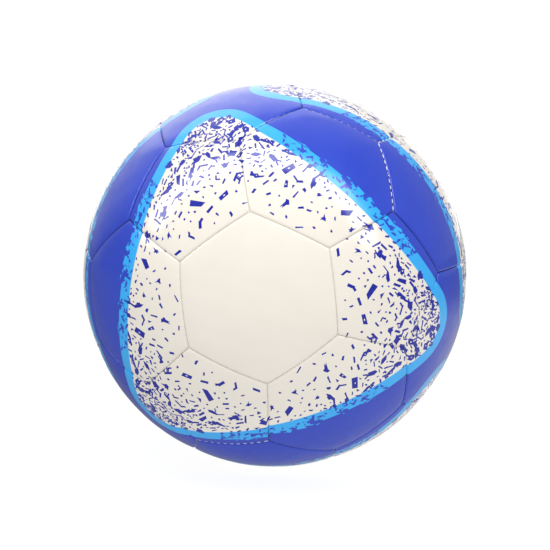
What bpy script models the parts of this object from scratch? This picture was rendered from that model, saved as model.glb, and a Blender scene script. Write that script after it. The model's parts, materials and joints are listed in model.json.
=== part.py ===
"""A stitched thirty-two panel ball of the indoor size, with its panels, seam threads, felt, bladder and valve.

Frame: metres, +Z up, origin at the ball's centre. A hexagonal panel faces -Y and the valve faces +Y.
"""

import math

import bmesh
import bpy
from mathutils import Matrix, Vector

COLLECTION = "soccer_ball"
CUTTERS = "cutters"

# The ball as a whole.
BALL_RADIUS = 0.1000
ROLL = math.radians(5.7)            # turn about Y, from +X towards +Z, of the first pentagon beside the front
PRINT_TWIST = math.radians(22.24)   # how far the print's other centres turn from the front panel's neighbours

# Cover panels: sheets with their edges turned in.
COVER_THICKNESS = 0.0020
TURNED_IN_DEPTH = 0.0046            # how deep the turned-in edge reaches below the outer surface
SEAM_GAP = 0.0015                   # between two turned-in edges, where the thread runs
EDGE_ROUND = 0.0026
EDGE_DROP = 0.0011
CUTS_PER_SIDE = 2

# Seam threads.
THREAD_RADIUS = 0.00038
THREAD_DEPTH = 0.0030
THREAD_END_GAP = 0.0008             # between the ends of two threads, halfway along a seam

# Shells inside the cover, each given by its outer radius and its thickness.
FELT_RADIUS = 0.0948
FELT_THICKNESS = 0.0020
BLADDER_RADIUS = 0.0924
BLADDER_THICKNESS = 0.0010
PATCH_RADIUS = 0.0970
PATCH_THICKNESS = 0.0009
VALVE_PATCH_SPAN = 0.0170           # radii of the two discs, along the sphere
BALANCE_PATCH_SPAN = 0.0150
SHELL_STEPS = 20
SHELL_RINGS = 10

# Valve, all about +Y. Heights are distances from the ball's centre.
VALVE_HOLE_RADIUS = 0.0047
TIP_RADIUS = 0.0043
TIP_HEIGHT = 0.0994
FLANGE_RADIUS = 0.0118
FLANGE_TOP = 0.0946
FLANGE_THICKNESS = 0.0013
NECK_RADIUS = 0.0047
NECK_BOTTOM = 0.0790
BORE_RADIUS = 0.0029
BORE_BOTTOM = 0.0812
SLIT_RADIUS = 0.0008
CORE_CLEARANCE = 0.0004
CORE_TOP = 0.0990
CORE_GROOVE = 0.0004
CORE_RIBS = 3
NEEDLE_RADIUS = 0.0006
TURN_STEPS = 20

# Angles of the truncated icosahedron, seen from its centre.
EDGE_TO_RADIUS = 4 / math.sqrt(58 + 18 * math.sqrt(5))
HEXAGON_CORNER = math.asin(EDGE_TO_RADIUS)
PENTAGON_CORNER = math.asin(EDGE_TO_RADIUS / (2 * math.sin(math.pi / 5)))
PENTAGON_SPACING = math.atan(2)

FRONT = Vector((0, -1, 0))
BACK = Vector((0, 1, 0))


# Scene and materials

def clear_scene():
    for obj in list(bpy.data.objects):
        bpy.data.objects.remove(obj)


def new_collection(name):
    collection = bpy.data.collections.new(name)
    bpy.context.scene.collection.children.link(collection)
    return collection


def new_material(name, colour, roughness, metallic):
    material = bpy.data.materials.new(name)
    material.use_nodes = True
    shader = material.node_tree.nodes["Principled BSDF"]
    shader.inputs["Base Color"].default_value = (*colour, 1)
    shader.inputs["Roughness"].default_value = roughness
    shader.inputs["Metallic"].default_value = metallic
    material.diffuse_color = (*colour, 1)
    return material


def new_object(name, mesh, collection, turn):
    obj = bpy.data.objects.new(name, mesh)
    obj.rotation_euler = turn.to_euler()
    collection.objects.link(obj)
    return obj


def smooth_with_sharp_edges(mesh):
    mesh.shade_smooth()
    mesh.set_sharp_from_angle(angle=math.radians(40))


def add_solidify(obj, thickness):
    solidify = obj.modifiers.new("thickness", "SOLIDIFY")
    solidify.thickness = thickness
    solidify.offset = -1
    solidify.use_even_offset = True


# Layout of the panels

def facing(direction, towards):
    """A rotation that takes +Z to direction and +X as near as it can to towards."""
    across = (towards - towards.dot(direction) * direction).normalized()
    return Matrix((across, direction.cross(across), direction)).transposed()


def icosahedron_corners():
    """The twelve pentagon centres, turned so that a hexagon faces FRONT with the first pentagon at ROLL."""
    golden = (1 + math.sqrt(5)) / 2
    corners = []
    for a in (-1, 1):
        for b in (-golden, golden):
            corners += [Vector((0, a, b)), Vector((a, b, 0)), Vector((b, 0, a))]
    corners = [corner.normalized() for corner in corners]
    first = corners[0]
    beside = [c for c in corners if c.angle(first) < PENTAGON_SPACING + 0.01 and c != first]
    second = beside[0]
    third = next(c for c in beside if c != second and c.angle(second) < PENTAGON_SPACING + 0.01)
    face = (first + second + third).normalized()
    roll_direction = Vector((math.cos(ROLL), 0, math.sin(ROLL)))
    turn = facing(FRONT, roll_direction) @ facing(face, first).transposed()
    return [turn @ corner for corner in corners]


def hexagon_centres(pentagons):
    """The twenty directions that lie between three neighbouring pentagons."""
    near = PENTAGON_SPACING + 0.01
    centres = []
    for i, a in enumerate(pentagons):
        for j, b in enumerate(pentagons[:i]):
            for c in pentagons[:j]:
                if a.angle(b) < near and b.angle(c) < near and a.angle(c) < near:
                    centres.append((a + b + c).normalized())
    return centres


def around_front(direction):
    """Angle about the front panel, seen from the front, from +X towards +Z."""
    return math.atan2(direction.z, direction.x) % math.tau


def front_to_back(directions):
    return sorted(directions, key=lambda d: (round(d.angle(FRONT), 3), round(around_front(d), 3)))


def nearest(directions, target):
    return min(directions, key=lambda d: d.angle(target))


def print_centres(hexagons, pentagons):
    """The front hexagon and the three that share its white print, one each way at the corners of a tetrahedron."""
    centres = [nearest(hexagons, FRONT)]
    tetrahedral = math.acos(-1 / 3)
    first_neighbour = around_front(nearest(pentagons, FRONT)) + math.pi / 3
    for k in range(3):
        angle = first_neighbour - PRINT_TWIST + k * math.tau / 3
        across = Vector((math.cos(angle), 0, math.sin(angle)))
        target = math.cos(tetrahedral) * FRONT + math.sin(tetrahedral) * across
        centres.append(nearest(hexagons, target))
    return centres


# Cover panels

def blown_out(point, widen, radius):
    """The point of a sphere over a flat point, after the flat outline is widened."""
    flat = Vector((point.x / point.z * widen, point.y / point.z * widen, 1))
    return flat.normalized() * radius


def panel_mesh(name, sides, corner_angle, material):
    """An open sheet: a flat polygon blown onto the sphere, its rim rounded over and turned in."""
    flat_side = math.tan(corner_angle) * math.cos(math.pi / sides)
    side_angle = math.atan(flat_side)
    wall = math.tan(side_angle - SEAM_GAP / 2 / BALL_RADIUS) / flat_side
    top = math.tan(side_angle - (SEAM_GAP / 2 + EDGE_ROUND) / BALL_RADIUS) / flat_side
    first_corner_on_x = Matrix.Rotation(math.radians(-90), 4, "Z")
    bm = bmesh.new()
    bmesh.ops.create_circle(
        bm,
        cap_ends=True,
        cap_tris=True,
        segments=sides,
        radius=math.tan(corner_angle) * top,
        matrix=first_corner_on_x,
    )
    bmesh.ops.subdivide_edges(bm, edges=bm.edges[:], cuts=CUTS_PER_SIDE, use_grid_fill=True)
    for vertex in bm.verts:
        vertex.co = blown_out(vertex.co + Vector((0, 0, 1)), 1, BALL_RADIUS)
    rims = ((wall / top, BALL_RADIUS - EDGE_DROP), (1, BALL_RADIUS - TURNED_IN_DEPTH))
    for widen, radius in rims:
        border = [edge for edge in bm.edges if edge.is_boundary]
        made = bmesh.ops.extrude_edge_only(bm, edges=border)["geom"]
        for vertex in [item for item in made if isinstance(item, bmesh.types.BMVert)]:
            vertex.co = blown_out(vertex.co, widen, radius)
    bmesh.ops.recalc_face_normals(bm, faces=bm.faces[:])
    mesh = bpy.data.meshes.new(name)
    bm.to_mesh(mesh)
    bm.free()
    smooth_with_sharp_edges(mesh)
    mesh.materials.append(material)
    return mesh


def make_panels(parts, pentagons, hexagons, materials):
    """Returns the panel that faces BACK, which takes the valve."""
    white_centres = print_centres(hexagons, pentagons)
    hexagon_meshes = {
        colour: panel_mesh(f"hexagon_{colour}", 6, HEXAGON_CORNER, materials[colour])
        for colour in ("white", "blue")
    }
    pentagon = panel_mesh("pentagon", 5, PENTAGON_CORNER, materials["white"])
    corner_beside_pentagon = Matrix.Rotation(math.radians(30), 3, "Z")
    for number, centre in enumerate(hexagons[:-1], 1):
        colour = "white" if centre in white_centres else "blue"
        turn = facing(centre, nearest(pentagons, centre)) @ corner_beside_pentagon
        new_object(f"hexagon_panel_{number:02d}", hexagon_meshes[colour], parts, turn)
    for number, centre in enumerate(pentagons, 1):
        neighbour = nearest([p for p in pentagons if p != centre], centre)
        new_object(f"pentagon_panel_{number:02d}", pentagon, parts, facing(centre, neighbour))
    back = hexagons[-1]
    turn = facing(back, nearest(pentagons, back)) @ corner_beside_pentagon
    valve_panel = new_object("valve_panel", hexagon_meshes["blue"].copy(), parts, turn)
    for panel in parts.objects:
        add_solidify(panel, COVER_THICKNESS)
    return valve_panel


def cut_valve_hole(valve_panel, cutters):
    bpy.ops.mesh.primitive_cylinder_add(
        vertices=TURN_STEPS,
        radius=VALVE_HOLE_RADIUS,
        depth=4 * TURNED_IN_DEPTH,
        location=BACK * BALL_RADIUS,
        rotation=(math.radians(90), 0, 0),
    )
    cutter = bpy.context.object
    cutter.name = "valve_hole_cutter"
    for collection in cutter.users_collection:
        collection.objects.unlink(cutter)
    cutters.objects.link(cutter)
    cutter.hide_render = True
    cutter.display_type = "WIRE"
    hole = valve_panel.modifiers.new("valve_hole", "BOOLEAN")
    hole.operation = "DIFFERENCE"
    hole.solver = "EXACT"
    hole.object = cutter


# Seam threads

def on_sphere(polar, azimuth, radius):
    ring = math.sin(polar) * radius
    return Vector((ring * math.cos(azimuth), ring * math.sin(azimuth), math.cos(polar) * radius))


def thread_mesh(material):
    """A thread's path round a pentagon and half way along each of the five seams that leave its corners."""
    radius = BALL_RADIUS - THREAD_DEPTH
    tail_end = (PENTAGON_SPACING - THREAD_END_GAP / radius) / 2
    points = []
    edges = []
    for k in range(5):
        corner = on_sphere(PENTAGON_CORNER, k * math.tau / 5, radius)
        next_corner = on_sphere(PENTAGON_CORNER, (k + 1) * math.tau / 5, radius)
        middle = (corner + next_corner).normalized() * radius
        points += [corner, middle, on_sphere(tail_end, k * math.tau / 5, radius)]
        start = 3 * k
        edges += [(start, start + 1), (start + 1, (start + 3) % 15), (start, start + 2)]
    mesh = bpy.data.meshes.new("seam_thread")
    mesh.from_pydata(points, edges, [])
    mesh.materials.append(material)
    return mesh


def make_threads(parts, pentagons, material):
    mesh = thread_mesh(material)
    for number, centre in enumerate(pentagons, 1):
        neighbour = nearest([p for p in pentagons if p != centre], centre)
        thread = new_object(f"seam_thread_{number:02d}", mesh, parts, facing(centre, neighbour))
        thread.modifiers.new("thread", "SKIN")
    # The Skin modifiers have given the shared mesh its skin layer.
    for vertex in mesh.skin_vertices[0].data:
        vertex.radius = (THREAD_RADIUS, THREAD_RADIUS)
    mesh.skin_vertices[0].data[0].use_root = True


# Turned pieces about Y

def turned(name, points, closed, towards, steps, material, parts):
    """An outline of (radius, height) points turned about the line from the ball's centre towards a direction."""
    mesh = bpy.data.meshes.new(name)
    edges = [(i, i + 1) for i in range(len(points) - 1)]
    if closed:
        edges.append((len(points) - 1, 0))
    mesh.from_pydata([(r, 0, h) for r, h in points], edges, [])
    mesh.materials.append(material)
    obj = new_object(name, mesh, parts, facing(towards, Vector((1, 0, 0))))
    screw = obj.modifiers.new("turn", "SCREW")
    screw.steps = steps
    screw.render_steps = steps
    screw.use_merge_vertices = True
    screw.merge_threshold = 0.00001
    screw.use_smooth_shade = True
    return obj


def arc(radius, start, end, count):
    """Points (radius, height) along a circle about the centre, from one polar angle to another."""
    angles = [start + (end - start) * i / count for i in range(count + 1)]
    return [(radius * math.sin(a), radius * math.cos(a)) for a in angles]


def shell_outline(radius, opening):
    """An arc from an opening about the turning line down to the far pole, on rings that every shell shares."""
    first_ring = math.pi / SHELL_RINGS
    return arc(radius, opening, first_ring, 1) + arc(radius, 2 * first_ring, math.pi, SHELL_RINGS - 2)


def make_felt(parts, material):
    opening = (FLANGE_RADIUS + 2 * CORE_CLEARANCE) / FELT_RADIUS
    outline = shell_outline(FELT_RADIUS, opening)
    felt = turned("felt_layer", outline, False, BACK, SHELL_STEPS, material, parts)
    add_solidify(felt, FELT_THICKNESS)


def make_bladder(parts, material):
    opening = (NECK_RADIUS + 2 * CORE_CLEARANCE) / BLADDER_RADIUS
    outline = shell_outline(BLADDER_RADIUS, opening)
    bladder = turned("bladder", outline, False, BACK, SHELL_STEPS, material, parts)
    add_solidify(bladder, BLADDER_THICKNESS)


def make_valve_patch(parts, material):
    hole = (VALVE_HOLE_RADIUS + CORE_CLEARANCE) / PATCH_RADIUS
    outline = arc(PATCH_RADIUS, hole, VALVE_PATCH_SPAN / PATCH_RADIUS, 3)
    patch = turned("valve_patch", outline, False, BACK, TURN_STEPS, material, parts)
    add_solidify(patch, PATCH_THICKNESS)


def make_balance_patch(parts, material):
    outline = arc(PATCH_RADIUS, 0, BALANCE_PATCH_SPAN / PATCH_RADIUS, 3)
    patch = turned("balance_patch", outline, False, FRONT, TURN_STEPS, material, parts)
    add_solidify(patch, PATCH_THICKNESS)


def make_valve_housing(parts, material):
    """Tip, flange on the bladder and neck, round a bore that ends in a narrow slit."""
    flange_edge = FLANGE_RADIUS / FLANGE_TOP
    flange_root = TIP_RADIUS / FLANGE_TOP
    outline = [(TIP_RADIUS, TIP_HEIGHT)]
    outline += arc(FLANGE_TOP, flange_root, flange_edge, 2)
    outline += arc(FLANGE_TOP - FLANGE_THICKNESS, flange_edge, NECK_RADIUS / FLANGE_TOP, 2)
    outline += [
        (NECK_RADIUS, NECK_BOTTOM),
        (SLIT_RADIUS, NECK_BOTTOM),
        (SLIT_RADIUS, BORE_BOTTOM),
        (BORE_RADIUS, BORE_BOTTOM),
        (BORE_RADIUS, TIP_HEIGHT),
    ]
    turned("valve_housing", outline, True, BACK, TURN_STEPS, material, parts)


def make_valve_core(parts, material):
    """The plug that slides out along +Y: sealing ribs with grooves between, and the needle's channel."""
    radius = BORE_RADIUS - CORE_CLEARANCE
    bottom = BORE_BOTTOM + CORE_CLEARANCE
    step = (CORE_TOP - bottom) / (2 * CORE_RIBS + 1)
    outline = []
    for rib in range(CORE_RIBS + 1):
        rib_top = CORE_TOP - 2 * rib * step
        outline += [(radius, rib_top), (radius, rib_top - step)]
        if rib < CORE_RIBS:
            groove = radius - CORE_GROOVE
            outline += [(groove, rib_top - 1.2 * step), (groove, rib_top - 1.8 * step)]
    outline += [(NEEDLE_RADIUS, bottom), (NEEDLE_RADIUS, CORE_TOP)]
    turned("valve_core", outline, True, BACK, TURN_STEPS, material, parts)


def main():
    clear_scene()
    parts = new_collection(COLLECTION)
    cutters = new_collection(CUTTERS)
    materials = {
        "white": new_material("white_cover", (0.85, 0.81, 0.73), 0.30, 0.0),
        "blue": new_material("blue_cover", (0.055, 0.075, 0.52), 0.30, 0.0),
        "thread": new_material("thread", (0.62, 0.62, 0.66), 0.70, 0.0),
        "felt": new_material("felt", (0.55, 0.54, 0.50), 0.95, 0.0),
        "bladder": new_material("bladder_rubber", (0.03, 0.03, 0.03), 0.60, 0.0),
        "valve": new_material("valve_rubber", (0.05, 0.05, 0.05), 0.50, 0.0),
        "patch": new_material("patch_cloth", (0.70, 0.68, 0.62), 0.85, 0.0),
    }
    corners = icosahedron_corners()
    pentagons = front_to_back(corners)
    hexagons = front_to_back(hexagon_centres(corners))
    valve_panel = make_panels(parts, pentagons, hexagons, materials)
    cut_valve_hole(valve_panel, cutters)
    make_threads(parts, pentagons, materials["thread"])
    make_felt(parts, materials["felt"])
    make_bladder(parts, materials["bladder"])
    make_valve_patch(parts, materials["patch"])
    make_balance_patch(parts, materials["patch"])
    make_valve_housing(parts, materials["valve"])
    make_valve_core(parts, materials["valve"])


main()
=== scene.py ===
"""The looks of a stitched ball of thirty-two panels: printed cover, seam threads, valve and layers.

Metres, +Z up, origin at the ball's centre, as in the CAD model. The front panel faces -Y and the valve +Y.
"""

import json
import math
import random

import bpy
import numpy as np
from mathutils import Matrix, Vector
from mathutils.geometry import delaunay_2d_cdt


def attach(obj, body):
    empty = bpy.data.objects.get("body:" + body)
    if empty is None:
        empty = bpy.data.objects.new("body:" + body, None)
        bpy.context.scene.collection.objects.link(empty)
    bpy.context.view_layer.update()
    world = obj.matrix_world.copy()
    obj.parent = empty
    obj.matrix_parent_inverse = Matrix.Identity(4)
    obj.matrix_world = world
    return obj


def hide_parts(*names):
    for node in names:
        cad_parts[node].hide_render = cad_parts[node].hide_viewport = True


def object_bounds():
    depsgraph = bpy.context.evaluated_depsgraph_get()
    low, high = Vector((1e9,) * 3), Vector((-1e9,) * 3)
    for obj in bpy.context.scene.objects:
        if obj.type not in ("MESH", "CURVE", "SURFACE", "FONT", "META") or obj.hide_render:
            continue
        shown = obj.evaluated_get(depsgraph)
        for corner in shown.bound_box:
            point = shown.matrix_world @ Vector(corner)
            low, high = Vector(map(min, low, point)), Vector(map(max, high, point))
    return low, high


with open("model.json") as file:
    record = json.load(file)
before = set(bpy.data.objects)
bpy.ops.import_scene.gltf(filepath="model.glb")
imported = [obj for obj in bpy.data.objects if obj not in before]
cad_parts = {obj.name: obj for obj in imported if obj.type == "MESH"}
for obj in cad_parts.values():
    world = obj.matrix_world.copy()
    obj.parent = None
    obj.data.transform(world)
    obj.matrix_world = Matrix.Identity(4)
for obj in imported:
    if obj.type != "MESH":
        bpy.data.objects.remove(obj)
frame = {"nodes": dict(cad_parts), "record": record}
cad_low, cad_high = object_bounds()

MM = 0.001
BALL_RADIUS = 0.1000
NEAR_CORNER = math.radians(26)  # wider than any panel's corner, narrower than the next corner out

# Cover panels
SEAM_DEPTH = 0.85 * MM
SEAM_SHADE_REACH = 0.20 * MM  # how far from the seam the blue is painted darker, as painted shade in the seam's groove
SHOULDER = 1.35 * MM  # how far from the seam the surface starts to roll over
SWELL = 0.45 * MM  # how much lower the cover is at a seam than in a panel's middle
SWELL_REACH = 6.0 * MM
CORNER_BLEND = 0.45 * MM
STITCHES_PER_SEAM = 11
PUCKER = 0.10 * MM
PUCKER_REACH = 1.5 * MM
WAVE_HEIGHT = 0.010 * MM
ROW_INSETS = (0.02, 0.08, 0.17, 0.30, 0.47, 0.70, 1.0, 1.4, 1.95, 2.8)
POINTS_PER_SIDE = 54
GRID_STEP = 2.1 * MM
BACK_GRID_STEP = 5.0 * MM
HOLE_RADIUS = 4.55 * MM
HOLE_ROUND = 0.8 * MM
HOLE_STEPS = 72
HOLE_INSETS = (0, 0.12, 0.3, 0.55, 0.9, 1.5, 2.4)
# The turned-in edge under the seam: millimetres from the seam and below the ball's radius, ring by ring.
EDGE_RINGS = (
    (0.04, 2.0), (0.5, 2.6), (0.75, 3.3), (0.75, 4.3), (0.95, 4.6), (2.2, 4.6), (2.5, 4.2), (2.7, 2.9),
    (3.6, 2.3),
)
PRINTED_RINGS = 3  # how many of them, from the seam down, carry the print
BACK_DEPTH = 2.1 * MM

# Print: four rounded triangles of white inside a band of cyan, about the corners of a tetrahedron
DISC_RADIUS = 523.6 * MM  # each side of the triangle is an arc of this radius
INRADIUS = 73.65 * MM
CORNER_ROUND = 32.5 * MM
BAND = 6.8 * MM
MISPRINT = 0.45 * MM  # how far a panel's print sits off its place
PRINT_TURN = math.radians(4.8)  # of a side's middle from the direction to another print
FRONT_APOTHEM = 36.5 * MM  # of the panel in the middle of a print, which stays bare
FRONT_TURN = 22.2  # degrees to the middle of that panel's first side
CONTOUR_STEPS = 420
TORN_LENGTH = 47  # millimetres either way from a side's middle where the band is torn
TORN_FADE = 54  # millimetres from there to where the tears would end
SAMPLE_STEP = 0.7  # millimetres between the points that stand for a shard's outline
# The fifth ink is a darker blue that is painted along the seams of blue areas as shade in the groove.
WHITE, CYAN, BLUE, DEEP_BLUE, SEAM_SHADE_BLUE, BACKING = range(6)


def unit(vectors):
    return vectors / np.linalg.norm(vectors, axis=-1, keepdims=True)


def vertex_values(obj, name):
    values = np.empty(3 * len(obj.data.vertices), np.float32)
    obj.data.vertices.foreach_get(name, values)
    return values.reshape(-1, 3).astype(float)


def mesh_points(node):
    return vertex_values(frame["nodes"][node], "co")


# Layout of the panels, read from the CAD nodes

class Panel:
    """One cover panel: its own axes, its corners in order and the planes of its seams."""

    def __init__(self, node, all_corners):
        self.node = node
        middle = unit(mesh_points(node).mean(0))
        corners = all_corners[all_corners @ middle > math.cos(NEAR_CORNER)]
        self.centre = unit(corners.mean(0))
        across = unit(corners[0] - corners[0] @ self.centre * self.centre)
        self.axes = np.array((across, np.cross(self.centre, across), self.centre))
        turn = np.arctan2(corners @ self.axes[1], corners @ self.axes[0])
        self.corners = corners[np.argsort(turn)]
        following = np.roll(self.corners, -1, axis=0)
        self.side_normals = unit(np.cross(self.corners, following))
        self.side_middles = unit(self.corners + following)
        self.side_runs = np.cross(self.side_normals, self.side_middles)
        self.side_angle = math.asin(self.side_normals[0] @ self.centre)
        self.flat_corners = self.flatten(self.corners)

    def flatten(self, directions):
        """Directions as points, in metres, of the plane that touches the ball at the panel's middle."""
        local = directions @ self.axes.T
        return local[:, :2] / local[:, 2:] * BALL_RADIUS

    def unflatten(self, flat):
        local = np.column_stack((flat / BALL_RADIUS, np.ones(len(flat))))
        return unit(local @ self.axes)

    def outline_scale(self, inset):
        return math.tan(self.side_angle - inset / BALL_RADIUS) / math.tan(self.side_angle)

    def outline(self, inset, per_side):
        """Points along the panel's outline, moved inwards from the seams."""
        corners = self.flat_corners * self.outline_scale(inset)
        following = np.roll(corners, -1, axis=0)
        share = np.arange(per_side)[None, :, None] / per_side
        return (corners[:, None] * (1 - share) + following[:, None] * share).reshape(-1, 2)

    def seam_distances(self, directions):
        """How far each direction is from each of the panel's seams, inwards."""
        return np.arcsin(directions @ self.side_normals.T) * BALL_RADIUS


def ball_corners():
    """The sixty corners, each a third of the way from one pentagon's middle to the next."""
    pentagons = sorted(name for name in frame["nodes"] if name.startswith("pentagon_panel"))
    middles = [unit(mesh_points(name).mean(0)) for name in pentagons]
    next_pentagon = math.cos(math.atan(2)) - 0.01
    return np.array(
        [unit(2 * a + b) for a in middles for b in middles if a is not b and a @ b > next_pentagon]
    )


ALL_CORNERS = ball_corners()
PANEL_SLOTS = {
    row["node"]: row["material_slot"] for row in frame["record"]["subparts"] if "panel" in row["node"]
}
PANELS = [Panel(node, ALL_CORNERS) for node in sorted(PANEL_SLOTS)]


# The print's plane about each white panel: distances along the ball, at their own angles

def print_axes():
    """Each print lies about a white hexagon, with its first axis towards another print."""
    centres = [
        panel.centre
        for panel in PANELS
        if PANEL_SLOTS[panel.node] == "white_cover" and panel.node.startswith("hexagon")
    ]
    axes = []
    for i, centre in enumerate(centres):
        other = centres[(i + 1) % len(centres)]
        across = unit(other - other @ centre * centre)
        axes.append((across, np.cross(centre, across), centre))
    return np.array(axes)


PRINTS = print_axes()


def onto_ball(axes, points):
    """Points of a print's plane as directions from the ball's centre."""
    points = np.asarray(points, float)
    reach = np.linalg.norm(points, axis=1)
    along = points / np.maximum(reach, 1e-9)[:, None] @ axes[:2]
    angle = (reach / BALL_RADIUS)[:, None]
    return np.cos(angle) * axes[2] + np.sin(angle) * along


def onto_print(directions):
    """Directions as points of the plane of the nearest print."""
    nearest = (directions @ PRINTS[:, 2].T).argmax(1)
    axes = PRINTS[nearest]
    local = np.einsum("nij,nj->ni", axes, directions)
    reach = np.arccos(np.clip(local[:, 2], -1, 1)) * BALL_RADIUS
    return unit(local[:, :2] + 1e-12) * reach[:, None]


def print_distance(points):
    """Signed distance from the outer edge of the cyan band, negative inside."""
    points = np.asarray(points, float)
    inside = []
    for k in range(3):
        angle = PRINT_TURN + k * math.tau / 3
        disc = (INRADIUS - DISC_RADIUS) * np.array((math.cos(angle), math.sin(angle)))
        inside.append(np.linalg.norm(points - disc, axis=1) - DISC_RADIUS + CORNER_ROUND)
    inside = np.stack(inside, 1)
    rounded = np.linalg.norm(np.maximum(inside, 0), axis=1)
    return np.minimum(inside.max(1), 0) + rounded - CORNER_ROUND


def contour(level):
    """The closed line of the print's plane where print_distance has this value."""
    turn = np.arange(CONTOUR_STEPS) * math.tau / CONTOUR_STEPS
    ray = np.column_stack((np.cos(turn), np.sin(turn)))
    low = np.zeros(CONTOUR_STEPS)
    high = np.full(CONTOUR_STEPS, 2 * INRADIUS)
    for _ in range(30):
        middle = (low + high) / 2
        inner = print_distance(ray * middle[:, None]) < level
        low = np.where(inner, middle, low)
        high = np.where(inner, high, middle)
    return ray * low[:, None]


# Shards of ink, in millimetres of the print's plane: each is a small polygon

def placed(points, angle, at):
    cos, sin = math.cos(angle), math.sin(angle)
    return [(at[0] + x * cos - y * sin, at[1] + x * sin + y * cos) for x, y in points]


def beyond(at, length, angle):
    return (at[0] + length * math.cos(angle), at[1] + length * math.sin(angle))


def bar(rng, at, length, width, angle):
    """A bar whose corners are a little out of square."""
    points = []
    for along, aside in ((-1, -1), (1, -1), (1, 1), (-1, 1)):
        x = along * length / 2 + rng.uniform(-0.4 * width, 0.4 * width)
        points.append((x, aside * width / 2 * rng.uniform(0.55, 1.2)))
    return placed(points, angle, at)


def limb(rng, start, length, width, angle):
    return bar(rng, beyond(start, length / 2, angle), length + 0.7 * width, width, angle)


def chip(rng, at, length, width, angle, corners):
    points = []
    for i in range(corners):
        turn = math.tau * (i + rng.uniform(-0.3, 0.3)) / corners
        size = rng.uniform(0.75, 1.2)
        points.append((length / 2 * math.cos(turn) * size, width / 2 * math.sin(turn) * size))
    return placed(points, angle, at)


def hook(rng, at, size, width, angle):
    """Two or three limbs end to end, each turned from the one before."""
    shapes = []
    side = rng.choice((-1, 1))
    for _ in range(rng.choice((2, 2, 3))):
        length = size * rng.uniform(0.3, 0.65)
        shapes.append(limb(rng, at, length, width * rng.uniform(0.75, 1.35), angle))
        at = beyond(at, length, angle)
        angle += side * math.radians(rng.uniform(35, 105))
        if rng.random() < 0.4:
            side = -side
    return shapes


def star(rng, at, size, angle):
    """A chip with spikes."""
    shapes = [chip(rng, at, size * 0.62, size * 0.5, angle, 5)]
    for _ in range(rng.choice((2, 3, 4))):
        turn = rng.uniform(0, math.tau)
        reach = size * rng.uniform(0.4, 0.75)
        half = 0.16 * size
        shapes.append(placed([(0, -half), (reach, rng.uniform(-0.3, 0.3)), (0, half)], turn, at))
    return shapes


def splinter(rng, at, size, angle):
    """A jagged run of bars, chips and twigs."""
    shapes = []
    reach = 0
    while reach < size:
        step = rng.uniform(2.2, 5.4)
        width = rng.choice((0.9, 1.3, 1.8, 2.5, 3.3))
        turn = angle + math.radians(rng.uniform(-48, 48))
        if width > 1.5:
            middle = beyond(at, step / 2, turn)
            shapes.append(chip(rng, middle, 1.5 * step, 1.3 * width, turn, rng.choice((4, 5))))
        else:
            shapes.append(limb(rng, at, step, width, turn))
        if rng.random() < 0.6:
            twig = turn + rng.choice((-1, 1)) * math.radians(rng.uniform(40, 110))
            start = beyond(at, rng.uniform(0.3, 0.9) * step, turn)
            shapes += hook(rng, start, rng.uniform(2.0, 4.5), rng.uniform(0.7, 1.2), twig)
        at = beyond(at, 0.95 * step, turn)
        reach += step
    return shapes


CORNER_AT = math.degrees(PRINT_TURN) + 60  # degrees to one of the triangle's corners


def ink_share(at):
    """How thick the shards lie, from 0 in the middle to 1 in the triangle's corners."""
    reach = math.degrees(math.hypot(*at) * MM / BALL_RADIUS)
    aside = abs((math.degrees(math.atan2(at[1], at[0])) - CORNER_AT + 180) % 360 - 180)
    corner = np.interp(reach, (24, 30, 36, 43, 50, 58), (0.0, 0.12, 0.34, 0.62, 0.9, 1.0))
    side = np.interp(reach, (24, 30, 36, 42), (0.0, 0.12, 0.26, 0.45))
    blend = np.interp(aside, (20, 38), (0, 1))
    return float(corner * (1 - blend) + side * blend)


def clear_of_middle(points):
    """Are all points outside the bare panel in the middle of the print?"""
    turn = np.radians(FRONT_TURN + 60 * np.arange(6))
    sides = np.column_stack((np.cos(turn), np.sin(turn)))
    return bool(((points @ sides.T).max(1) > FRONT_APOTHEM / MM + MIDDLE_MARGIN).all())


def edge_samples(shape):
    """Points along a shard's outline, close enough to tell how near another shard is."""
    points = np.array(shape)
    found = [points.mean(0)]
    for a, b in zip(points, np.roll(points, -1, axis=0)):
        count = max(1, int(np.linalg.norm(b - a) / SAMPLE_STEP))
        found += [a + (b - a) * j / count for j in range(count)]
    return np.array(found)


def rotated(points, thirds):
    """Points turned about the print's middle by some thirds of a turn."""
    cos, sin = math.cos(thirds * math.tau / 3), math.sin(thirds * math.tau / 3)
    return np.asarray(points) @ np.array(((cos, sin), (-sin, cos)))


def cut(rng, shape, lengths, widths, corners, at, angle):
    """A hook, bar or chip as a list of polygons, its length and width drawn from these ranges."""
    length = rng.uniform(*lengths)
    width = rng.uniform(*widths)
    chosen = (rng.choice(corners),) if len(corners) > 1 else corners
    made = shape(rng, at, length, width, angle, *chosen)
    return made if shape is hook else [made]


# Flecks on the torn band: shape, ranges of length and width, and number of corners
FLECK_CUTS = {
    "hook": (hook, (2.5, 5), (0.8, 1.4), ()),
    "bar": (bar, (1.8, 5), (0.8, 1.6), ()),
    "block": (chip, (2.6, 5.5), (1.2, 2.4), (4,)),
    "wedge": (chip, (2.2, 4.8), (1.0, 2.2), (3,)),
    "dot": (chip, (0.9, 1.7), (0.8, 1.3), (5,)),
    "sliver": (chip, (2, 6), (0.6, 1.2), (3,)),
}


def new_shard(rng, kind, sizes, at, share, angle):
    """One shard of a kind as a list of polygons."""
    if kind == "splinter":
        return splinter(rng, at, rng.uniform(4, 7 + 9 * share), angle)
    if kind == "block":
        length = rng.uniform(3.0, 6.5)
        return [bar(rng, at, length, length * rng.uniform(0.35, 0.6), angle)]
    if kind == "star":
        return star(rng, at, rng.uniform(3.0, 6.0), angle)
    return cut(rng, *sizes, at, angle)


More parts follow.
